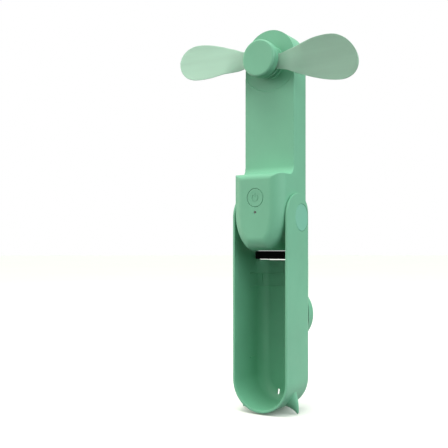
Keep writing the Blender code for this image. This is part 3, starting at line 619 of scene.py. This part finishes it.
def shape_motor_seat(shell):
    """The shallow dish in the head, the neck round the shaft, and the holes for bearing and screws."""
    facing = (0, 1, 0)
    hub = point(0, 0, MOTOR_HEIGHT)
    dish = [(ARM_FACE - 2, DISH_RADIUS + 0.4), (ARM_FACE, DISH_RADIUS + 0.2)]
    dish += [(ARM_FACE + 0.2, DISH_RADIUS), (ARM_FACE + DISH_DEPTH, DISH_RADIUS - 0.25)]
    cut(shell, turned("dish", point(0, 0, HEAD_HEIGHT), facing, dish, 160))
    neck = [(NECK_FRONT, NECK_RADIUS - 0.5)]
    for t in (0.75, 0.5, 0.25, 0):
        turn = t * pi / 2
        neck.append((NECK_FRONT + 0.5 - 0.5 * sin(turn), NECK_RADIUS - 0.5 + 0.5 * cos(turn)))
    neck += [(ARM_FACE - 0.6, NECK_RADIUS), (ARM_FACE - 0.6, NECK_RADIUS + 1.5)]
    neck += [(ARM_FACE - 0.3, NECK_RADIUS + 1.8), (ARM_FACE + 1.0, NECK_RADIUS + 1.8)]
    add(shell, turned("neck", hub, facing, neck, 96))
    start = NECK_FRONT - 2
    bearing = [(start, BEARING_HOLE), (MOTOR_WALL_BACK, BEARING_HOLE)]
    cut(shell, turned("bearing_hole", hub, facing, bearing, 48))
    head = [(start, SCREW_HEAD_HOLE), (NECK_FRONT + 1.6, SCREW_HEAD_HOLE)]
    shank = [(start, SCREW_SHANK_HOLE), (MOTOR_WALL_BACK, SCREW_SHANK_HOLE)]
    for side in (-1, 1):
        place = point(0, 0, MOTOR_HEIGHT + side * SCREW_OFFSET)
        cut(shell, turned("head_hole", place, facing, head, 32))
        cut(shell, turned("shank_hole", place, facing, shank, 24))


def open_chin(shell):
    """The openings for the button, the lamp and the charging socket."""
    facing = (0, 1, 0)
    wide = BUTTON_RADIUS + FIT
    hole = [(CHIN_FRONT - 2, wide + 2.15), (CHIN_FRONT + 0.15, wide), (CHIN_FRONT + 3, wide)]
    cut(shell, turned("button_hole", point(0, 0, BUTTON_HEIGHT), facing, hole, 96))
    wide = LAMP_RADIUS + 0.15
    hole = [(CHIN_FRONT - 2, wide), (CHIN_FRONT + 3, wide)]
    cut(shell, turned("lamp_hole", point(0, 0, LAMP_HEIGHT), facing, hole, 32))
    cut(shell, port_outline("port_hole", 0.3, CHIN_BOTTOM - 2, 4.5))


def make_rear_cover(looks):
    """The panel that closes the fan body's back, with the round edge that shows when the fan is shut."""
    lip = back_levels(0.12, edge_turn(0.12, SEAM_BACK), edge_turn(0.12, SEAM_BACK), 1)[:1]
    outside = lip + back_levels(0.0, edge_turn(0.0, SEAM_BACK + 0.12), pi / 2, 14)
    inside = back_levels(BODY_WALL, edge_turn(BODY_WALL, SEAM_BACK), pi / 2, 14)
    cover = loft("rear_cover_skin", outside[::-1] + inside)
    show(cover, looks["cover_plastic"], "fan_body", "rear_cover")


def make_stop_bar(looks):
    """The dark bar under the chin, with every long edge softened and its ends drawn in a little."""
    low, high = size_of("stop_bar")
    half_depth = (high.y - low.y) / 2
    half_height = (high.z - low.z) / 2
    middle = (low + high) / 2
    loops = []
    ends = [(-1, t) for t in (0, 0.35, 0.7, 1)] + [(1, t) for t in (1, 0.7, 0.35, 0)]
    for side, t in ends:
        turn = t * pi / 2
        x = side * (high.x - 0.7 * (1 - sin(turn)))
        inset = 0.7 * (1 - cos(pi / 2 - turn))
        loops.append(soft_rectangle(x, middle, half_depth - inset, half_height - inset, 1.0))
    bar = loft("stop_bar_skin", loops)
    show(bar, looks["stop_rubber"], "fan_body", "stop_bar")


def soft_rectangle(x, middle, half_depth, half_height, radius):
    """A rectangle with round corners, seen from the side."""
    outline = []
    for quarter in range(4):
        across = 1 if quarter in (0, 3) else -1
        upwards = 1 if quarter in (0, 1) else -1
        for t in steps(5):
            turn = (quarter + t) * pi / 2
            depth = middle.y + across * (half_depth - radius) + radius * cos(turn)
            outline.append(point(x, depth, middle.z + upwards * (half_height - radius) + radius * sin(turn)))
    return outline


def port_outline(name, margin, start, length):
    """A flat-sided, round-ended bar along +Z, the shape of the charging socket."""
    half = PORT_HALF + margin
    thick = PORT_HALF_THICK + margin
    outline = []
    for t in steps(14):
        turn = -pi / 2 + pi * t
        outline.append((half - thick + thick * cos(turn), PORT_DEPTH + thick * sin(turn)))
    outline += [(-x, 2 * PORT_DEPTH - depth) for x, depth in outline]
    places = [point(x, depth, start) for x, depth in outline]
    return prism(name, places, Vector((0, 0, length * MM)))


# ---------------------------------------------------------------- rotor, blades, button


def rotor_point(x, depth, height):
    """A place on the parked rotor, its width along the line of the blades and its height across it."""
    turned_x = x * cos(ROTOR_TURN) + height * sin(ROTOR_TURN)
    turned_height = height * cos(ROTOR_TURN) - x * sin(ROTOR_TURN)
    return point(turned_x, depth, MOTOR_HEIGHT + turned_height)


def make_hub(looks):
    """The round nose cap with soft edges, and the stepped carrier behind the blades."""
    hub = point(0, 0, MOTOR_HEIGHT)
    facing = (0, 1, 0)
    front, back = HUB_CAP_LOW.y, HUB_CAP_HIGH.y
    profile = [(front + 0.12, HUB_CAP_RADIUS * share) for share in (0.02, 0.3, 0.55)]
    profile += [(front, HUB_CAP_RADIUS - HUB_CAP_EDGE - 1.2)]
    profile += arc((front + HUB_CAP_EDGE, HUB_CAP_RADIUS - HUB_CAP_EDGE), HUB_CAP_EDGE, 180, 90, 12)
    profile += arc((back - 0.3, HUB_CAP_RADIUS - 0.3), 0.3, 90, 0, 4)
    cap = turned("hub_cap_skin", hub, facing, profile, 128)
    show(cap, looks["hub_cap_plastic"], "rotor", "hub_cap")

    low, high = HUB_LOW.y, HUB_HIGH.y
    plate = high - 1.95
    profile = [(low, 1.7), (plate, 1.7), (plate, HUB_RADIUS - 0.25), (plate + 0.25, HUB_RADIUS)]
    profile += [(high - 1.0, HUB_RADIUS), (high - 0.85, HUB_RADIUS - 0.9), (high, HUB_RADIUS - 1.1)]
    carrier = turned("blade_hub_skin", hub, facing, profile, 112)
    cut(carrier, turned("bore", hub, facing, [(low + 0.45, 1.15), (high + 2, 1.15)], 32))
    for side in (-1, 1):
        place = rotor_point(side * BLADE_PIVOT, 0, 0)
        cut(carrier, turned("pin_hole", place, facing, [(plate - 1, 1.1), (high - 0.4, 1.1)], 24))
    show(carrier, looks["hub_plastic"], "rotor", "blade_hub")


def smooth_share(value, low, high):
    """0 below low, 1 above high, and a smooth rise between them."""
    t = min(1.0, max(0.0, (value - low) / (high - low)))
    return t * t * (3 - 2 * t)


def blade_half_chord(reach):
    """Half the blade's width at a distance from the motor's axis: tab, neck, paddle and round tip."""
    if reach < BLADE_PIVOT:
        return sqrt(max(0.0, BLADE_TAB ** 2 - (BLADE_PIVOT - reach) ** 2))
    if reach < BLADE_WIDEST:
        neck = BLADE_TAB + (BLADE_NECK - BLADE_TAB) * smooth_share(reach, BLADE_PIVOT, 14)
        rise = sin(pi / 2 * max(0.0, reach - 10) / (BLADE_WIDEST - 10)) ** 1.4
        return neck + (BLADE_HALF_CHORD - neck) * rise
    end = (reach - BLADE_WIDEST) / (BLADE_LENGTH - BLADE_WIDEST)
    return BLADE_HALF_CHORD * max(0.0, 1 - end ** 2.1) ** 0.5


def blade_reaches():
    """Distances at which the blade is cut into sections, closer together at its ends."""
    inner = [BLADE_PIVOT - BLADE_TAB * cos(t * pi / 2) * 0.998 for t in steps(10)]
    middle = [BLADE_PIVOT + (BLADE_WIDEST - BLADE_PIVOT) * t for t in steps(34)[1:]]
    tip = [BLADE_WIDEST + (BLADE_LENGTH - BLADE_WIDEST) * sin(t * pi / 2) * 0.9995 for t in steps(20)[1:]]
    return inner + middle + tip


def blade_section(side, reach, level):
    """The closed outline of one section: thin, a little hollow, round at both edges, turned by the pitch."""
    half = blade_half_chord(reach)
    pitch = BLADE_PITCH * smooth_share(reach, BLADE_PITCH_START, 30)
    shift = BLADE_ROOT_OFFSET * smooth_share(reach, 9, 18)
    shift += BLADE_TIP_OFFSET * smooth_share(reach, 20, BLADE_LENGTH)
    hollow = 1.0 * smooth_share(reach, 12, 40)
    skew = BLADE_SKEW * smooth_share(reach, 12, 40)
    front = []
    back = []
    for t in steps(22):
        share = -cos(pi * t)
        across = shift + half * share
        edge = sqrt(max(0.0, 1 - share ** 2))
        round_off = min(1.0, edge * 4) ** 0.7
        thick = BLADE_THICKNESS / 2 * (1 - 0.4 * share * share) * (0.12 + 0.88 * round_off)
        bow = hollow * (half / BLADE_HALF_CHORD) ** 2 * (share * share - 0.5)
        depth = level - across * sin(pitch) - bow
        place = reach - skew * half * share
        front.append((side * place, depth - thick, side * across * cos(pitch)))
        back.append((side * place, depth + thick, side * across * cos(pitch)))
    return [rotor_point(*place) for place in front + back[::-1]]


def make_blade(looks, name, side):
    """A soft paddle with an eye at its root that turns on the pin."""
    level = BLADE_DEPTHS[name]
    sections = [blade_section(side, reach, level) for reach in blade_reaches()]
    blade = loft("blade_skin_" + name, sections)
    eye = rotor_point(side * BLADE_PIVOT, 0, 0)
    cut(blade, turned("eye", eye, (0, 1, 0), [(level - 3, 1.2), (level + 3, 1.2)], 24))
    show(blade, looks["blade_plastic"], "blade_" + name, "blade_" + name, 60)


def power_mark(depth):
    """The usual power sign: a ring open at the top, and an upright bar in the opening."""
    ring_outline = []
    for radius, way in ((2.35, 1), (1.95, -1)):
        turns = [radians(128 + 284 * t) for t in steps(40)][::way]
        ring_outline += [(radius * cos(t), radius * sin(t)) for t in turns]
    bar_outline = [(-0.2, 0.3), (0.2, 0.3), (0.2, 2.75), (-0.2, 2.75)]
    shift = Vector((0, 3 * MM, 0))
    start = depth - 2.8
    made = []
    for outline in (ring_outline, bar_outline):
        places = [point(x, start, BUTTON_HEIGHT + height) for x, height in outline]
        made.append(prism("mark", places, shift))
    return made


def make_button(looks):
    """The round power button, slightly dished, with the power sign sunk in its face."""
    front, back = BUTTON_LOW.y, BUTTON_HIGH.y
    flange = BUTTON_HIGH.x
    profile = [(front + 0.18, BUTTON_RADIUS * share) for share in (0.02, 0.3)]
    profile += [(front + 0.12, BUTTON_RADIUS * 0.6), (front, BUTTON_RADIUS - 0.6)]
    profile += arc((front + 0.35, BUTTON_RADIUS - 0.35), 0.35, 180, 90, 6)
    profile += [(back - 0.8, BUTTON_RADIUS), (back - 0.8, flange), (back, flange)]
    button = turned("power_button_skin", point(0, 0, BUTTON_HEIGHT), (0, 1, 0), profile, 112)
    for tool in power_mark(front + 0.18):
        cut(button, tool)
    show(button, looks["button_plastic"], "power_button", "power_button")


# ---------------------------------------------------------------- materials


def nodes_of(name):
    made = bpy.data.materials.new(name)
    made.use_nodes = True
    tree = made.node_tree
    shader = tree.nodes["Principled BSDF"]
    place = tree.nodes.new("ShaderNodeTexCoord").outputs["Object"]
    return made, tree, shader, place


def noise(tree, place, scale, detail=3.0, roughness=0.5, stretch=None):
    if stretch:
        mapping = tree.nodes.new("ShaderNodeMapping")
        mapping.inputs["Scale"].default_value = stretch
        tree.links.new(place, mapping.inputs["Vector"])
        place = mapping.outputs["Vector"]
    made = tree.nodes.new("ShaderNodeTexNoise")
    made.inputs["Scale"].default_value = scale
    made.inputs["Detail"].default_value = detail
    made.inputs["Roughness"].default_value = roughness
    tree.links.new(place, made.inputs["Vector"])
    return made.outputs["Fac"]


def ramp(tree, value, low, high, start=0.3, stop=0.7):
    """A value or colour that runs from low to high as the input goes from start to stop."""
    made = tree.nodes.new("ShaderNodeMapRange")
    made.inputs["From Min"].default_value = start
    made.inputs["From Max"].default_value = stop
    made.inputs["To Min"].default_value = low
    made.inputs["To Max"].default_value = high
    tree.links.new(value, made.inputs["Value"])
    return made.outputs["Result"]


def blend_colours(tree, value, first, second):
    made = tree.nodes.new("ShaderNodeMix")
    made.data_type = "RGBA"
    made.inputs["A"].default_value = (*first, 1.0)
    made.inputs["B"].default_value = (*second, 1.0)
    tree.links.new(value, made.inputs["Factor"])
    return made.outputs["Result"]


def bump(tree, shader, height, strength, distance):
    made = tree.nodes.new("ShaderNodeBump")
    made.inputs["Strength"].default_value = strength
    made.inputs["Distance"].default_value = distance
    tree.links.new(height, made.inputs["Height"])
    tree.links.new(made.outputs["Normal"], shader.inputs["Normal"])


def scaled(colour, factor):
    return tuple(min(1.0, part * factor) for part in colour)


def moulded(name, colour, rough, grain=0.12, spread=0.05, coat=0.0, shine=0.42):
    """Satin injection-moulded plastic: faint cloudiness, spark-eroded grain, uneven gloss."""
    made, tree, shader, place = nodes_of(name)
    cloud = ramp(tree, noise(tree, place, 35.0, 4.0), 0.0, 1.0)
    tone = blend_colours(tree, cloud, scaled(colour, 1 - spread), scaled(colour, 1 + spread))
    tree.links.new(tone, shader.inputs["Base Color"])
    patches = noise(tree, place, 90.0, 6.0, 0.6)
    tree.links.new(ramp(tree, patches, rough - 0.05, rough + 0.06), shader.inputs["Roughness"])
    bump(tree, shader, noise(tree, place, 2600.0, 2.0), grain, 0.00006)
    shader.inputs["Specular IOR Level"].default_value = shine
    shader.inputs["Coat Weight"].default_value = coat
    return made


def soft_blade(name):
    """Milky, flexible plastic that lets some light through, with flow lines along the paddle."""
    made, tree, shader, place = nodes_of(name)
    flow = noise(tree, place, 60.0, 4.0, 0.55, (0.25, 1.0, 2.2))
    tone = blend_colours(tree, ramp(tree, flow, 0.0, 1.0), scaled(PALE_MINT, 0.95), scaled(PALE_MINT, 1.06))
    tree.links.new(tone, shader.inputs["Base Color"])
    patches = noise(tree, place, 120.0, 4.0)
    tree.links.new(ramp(tree, patches, 0.34, 0.46), shader.inputs["Roughness"])
    bump(tree, shader, noise(tree, place, 1800.0, 2.0), 0.08, 0.00005)
    shader.inputs["Transmission Weight"].default_value = 0.35
    shader.inputs["IOR"].default_value = 1.45
    return made


def brushed(name, colour, rough, streak_scale=900.0):
    """Turned or drawn metal: fine streaks in gloss and height, and a little tarnish."""
    made, tree, shader, place = nodes_of(name)
    tarnish = ramp(tree, noise(tree, place, 220.0, 5.0), 0.0, 1.0)
    tone = blend_colours(tree, tarnish, scaled(colour, 0.82), colour)
    tree.links.new(tone, shader.inputs["Base Color"])
    streaks = noise(tree, place, streak_scale, 3.0, 0.5, (1.0, 6.0, 1.0))
    tree.links.new(ramp(tree, streaks, rough - 0.08, rough + 0.12), shader.inputs["Roughness"])
    bump(tree, shader, streaks, 0.15, 0.00004)
    shader.inputs["Metallic"].default_value = 1.0
    return made


def circuit_board(name):
    """Green solder mask over faint copper tracks."""
    made, tree, shader, place = nodes_of(name)
    cells = tree.nodes.new("ShaderNodeTexVoronoi")
    cells.feature = "DISTANCE_TO_EDGE"
    cells.inputs["Scale"].default_value = 420.0
    tree.links.new(place, cells.inputs["Vector"])
    tracks = ramp(tree, cells.outputs["Distance"], 1.0, 0.0, 0.03, 0.08)
    tone = blend_colours(tree, tracks, (0.015, 0.12, 0.045), (0.03, 0.22, 0.08))
    tree.links.new(tone, shader.inputs["Base Color"])
    tree.links.new(ramp(tree, noise(tree, place, 300.0), 0.3, 0.45), shader.inputs["Roughness"])
    bump(tree, shader, tracks, 0.2, 0.00005)
    return made


def foam_block(name):
    """Dark open foam: small cells in colour and height."""
    made, tree, shader, place = nodes_of(name)
    cells = tree.nodes.new("ShaderNodeTexVoronoi")
    cells.inputs["Scale"].default_value = 1100.0
    tree.links.new(place, cells.inputs["Vector"])
    tone = blend_colours(tree, cells.outputs["Distance"], (0.05, 0.05, 0.055), (0.17, 0.17, 0.18))
    tree.links.new(tone, shader.inputs["Base Color"])
    tree.links.new(ramp(tree, noise(tree, place, 200.0), 0.85, 0.97), shader.inputs["Roughness"])
    bump(tree, shader, cells.outputs["Distance"], 0.6, 0.0002)
    return made


def lamp_glass(name):
    """The dark smoked window over the lamp."""
    made, tree, shader, place = nodes_of(name)
    tone = blend_colours(tree, noise(tree, place, 900.0), (0.004, 0.008, 0.006), (0.012, 0.02, 0.015))
    tree.links.new(tone, shader.inputs["Base Color"])
    tree.links.new(ramp(tree, noise(tree, place, 700.0), 0.16, 0.26), shader.inputs["Roughness"])
    shader.inputs["Coat Weight"].default_value = 0.4
    return made


def make_looks():
    looks = {
        "handle_plastic": moulded("handle_plastic", MINT, 0.46),
        "body_plastic": moulded("body_plastic", MINT, 0.44),
        "cover_plastic": moulded("cover_plastic", scaled(MINT, 1.03), 0.42),
        "pad_plastic": moulded("pad_plastic", scaled(MINT, 0.97), 0.55, 0.2),
        "cap_plastic": moulded("cap_plastic", (0.2, 0.53, 0.4), 0.4, 0.1),
        "button_plastic": moulded("button_plastic", scaled(MINT, 0.97), 0.45, 0.1),
        "hub_plastic": moulded("hub_plastic", scaled(MINT, 0.95), 0.4, 0.1),
        "hub_cap_plastic": moulded("hub_cap_plastic", MINT, 0.36, 0.08),
        "black_plastic": moulded("black_plastic", (0.02, 0.02, 0.022), 0.45, 0.2, 0.15),
        "stop_rubber": moulded("stop_rubber", (0.003, 0.0035, 0.003), 0.85, 0.25, 0.2, shine=0.1),
        "lead_red": moulded("lead_red", (0.45, 0.02, 0.018), 0.42, 0.1, 0.1),
        "lead_black": moulded("lead_black", (0.015, 0.015, 0.017), 0.42, 0.1, 0.15),
        "blade_plastic": soft_blade("blade_plastic"),
        "steel": brushed("steel", (0.56, 0.57, 0.58), 0.32),
        "brass": brushed("brass", (0.72, 0.52, 0.22), 0.34),
        "socket_metal": brushed("socket_metal", (0.68, 0.69, 0.7), 0.28),
        "cell_foil": brushed("cell_foil", (0.7, 0.71, 0.72), 0.38, 500.0),
        "board": circuit_board("board"),
        "foam": foam_block("foam"),
        "lamp": lamp_glass("lamp"),
        "lamp_window": lamp_glass("lamp_window"),
    }
    return looks


CARRIED = {
    "steel": (
        "hinge_pin_left", "hinge_pin_right", "retaining_clip_left", "retaining_clip_right",
        "friction_washer_left", "friction_washer_right", "motor_can", "motor_screw_lower",
        "motor_screw_upper", "board_screw_left", "board_screw_right", "motor_shaft",
        "blade_pin_left", "blade_pin_right",
    ),
    "brass": ("hinge_bush_left", "hinge_bush_right", "motor_bearing"),
    "socket_metal": ("charge_port",),
    "cell_foil": ("battery_cell",),
    "board": ("control_board",),
    "foam": ("battery_foam",),
    "black_plastic": ("motor_end_cap", "tactile_switch"),
    "lead_red": ("motor_lead_red",),
    "lead_black": ("motor_lead_black",),
    "lamp": ("indicator_led",),
    "lamp_window": ("light_pipe",),
}


def dress_carried(looks):
    """The CAD nodes whose shape stays get their finished materials."""
    for look, names in CARRIED.items():
        for name in names:
            data = frame["nodes"][name].data
            data.materials.clear()
            data.materials.append(looks[look])


# ---------------------------------------------------------------- studio


def area_light(name, place, target, size, power, colour):
    data = bpy.data.lights.new(name, "AREA")
    data.shape = "RECTANGLE"
    data.size, data.size_y = size
    data.energy = power
    data.color = colour
    lamp = bpy.data.objects.new(name, data)
    lamp.location = place
    lamp.rotation_euler = (Vector(target) - Vector(place)).to_track_quat("-Z", "Y").to_euler()
    bpy.context.collection.objects.link(lamp)


def make_floor():
    """A pale round floor just under the lowest point, which throws no light back up onto the fan."""
    height = CAD_BOX[0].z - 0.0002
    mesh = bmesh.new()
    rim = [mesh.verts.new((12 * cos(2 * pi * i / 96), 12 * sin(2 * pi * i / 96), height)) for i in range(96)]
    mesh.faces.new(rim)
    data = bpy.data.meshes.new("floor")
    mesh.to_mesh(data)
    mesh.free()
    floor = bpy.data.objects.new("floor", data)
    bpy.context.collection.objects.link(floor)
    look, tree, shader, place = nodes_of("floor_paper")
    tone = blend_colours(tree, noise(tree, place, 3.0), (0.93, 0.93, 0.93), (0.97, 0.97, 0.97))
    tree.links.new(tone, shader.inputs["Base Color"])
    shader.inputs["Roughness"].default_value = 0.9
    shader.inputs["Specular IOR Level"].default_value = 0.1
    data.materials.append(look)
    floor.visible_diffuse = False


def make_world():
    """White all round for the camera. On the fan and the floor it shines mostly from overhead."""
    world = bpy.data.worlds.new("studio")
    bpy.context.scene.world = world
    world.use_nodes = True
    tree = world.node_tree
    seen = tree.nodes["Background"]
    seen.inputs["Color"].default_value = (1, 1, 1, 1)
    seen.inputs["Strength"].default_value = 1.0
    direction = tree.nodes.new("ShaderNodeTexCoord").outputs["Generated"]
    parts = tree.nodes.new("ShaderNodeSeparateXYZ")
    tree.links.new(direction, parts.inputs["Vector"])
    sky = tree.nodes.new("ShaderNodeValToRGB")
    tree.links.new(ramp(tree, parts.outputs["Z"], 0.0, 1.0, -1.0, 1.0), sky.inputs["Fac"])
    stops = sky.color_ramp.elements
    for place, colour in SKY:
        if place == 0.0:
            stop = stops[0]
        elif place == 1.0:
            stop = stops[-1]
        else:
            stop = stops.new(place)
        stop.color = (*scaled(colour, 1 / SKY_PEAK), 1.0)
    felt = tree.nodes.new("ShaderNodeBackground")
    tree.links.new(sky.outputs["Color"], felt.inputs["Color"])
    felt.inputs["Strength"].default_value = SKY_PEAK
    path = tree.nodes.new("ShaderNodeLightPath")
    mix = tree.nodes.new("ShaderNodeMixShader")
    tree.links.new(path.outputs["Is Camera Ray"], mix.inputs["Fac"])
    tree.links.new(felt.outputs["Background"], mix.inputs[1])
    tree.links.new(seen.outputs["Background"], mix.inputs[2])
    tree.links.new(mix.outputs["Shader"], tree.nodes["World Output"].inputs["Surface"])


def make_lights():
    middle = (0, -0.02, 0.06)
    area_light("right", (1.0, -0.42, 0.6), middle, (0.8, 0.9), 4.6, (0.97, 1.0, 1.0))
    area_light("right_back", (1.05, 0.2, 0.35), middle, (0.7, 0.9), 3.0, (0.97, 1.0, 1.0))
    area_light("left", (-1.1, -0.38, 0.4), middle, (0.6, 0.9), 5.0, (1.0, 0.95, 0.84))
    area_light("left_front", (-0.7, -0.95, 0.3), middle, (0.4, 0.8), 2.2, (1.0, 0.97, 0.92))
    area_light("front_high", (-0.05, -0.5, 1.2), middle, (0.6, 0.4), 4.5, (1.0, 0.95, 0.85))


def make_camera():
    """Level with the upper part of the handle, to the fan's right of its front."""
    data = bpy.data.cameras.new("camera")
    data.lens = 54.8
    data.shift_x = -0.079
    data.shift_y = 0.057
    camera = bpy.data.objects.new("camera", data)
    x = CAMERA_DISTANCE * sin(CAMERA_AZIMUTH)
    y = RIM - CAMERA_DISTANCE * cos(CAMERA_AZIMUTH)
    camera.location = (x, y, HINGE_HEIGHT - CAMERA_BELOW_HINGE)
    camera.rotation_euler = (pi / 2, 0, CAMERA_AZIMUTH)
    bpy.context.collection.objects.link(camera)
    bpy.context.scene.camera = camera
    bpy.context.scene.view_settings.view_transform = "Standard"


def main():
    looks = make_looks()
    make_handle(looks)
    make_rear_pad(looks)
    make_front_shell(looks)
    make_rear_cover(looks)
    make_stop_bar(looks)
    for name, side in (("left", -1), ("right", 1)):
        make_hinge_cap(looks, name, side)
        make_blade(looks, name, side)
    make_hub(looks)
    make_button(looks)
    dress_carried(looks)
    make_floor()
    make_world()
    make_lights()
    make_camera()


main()
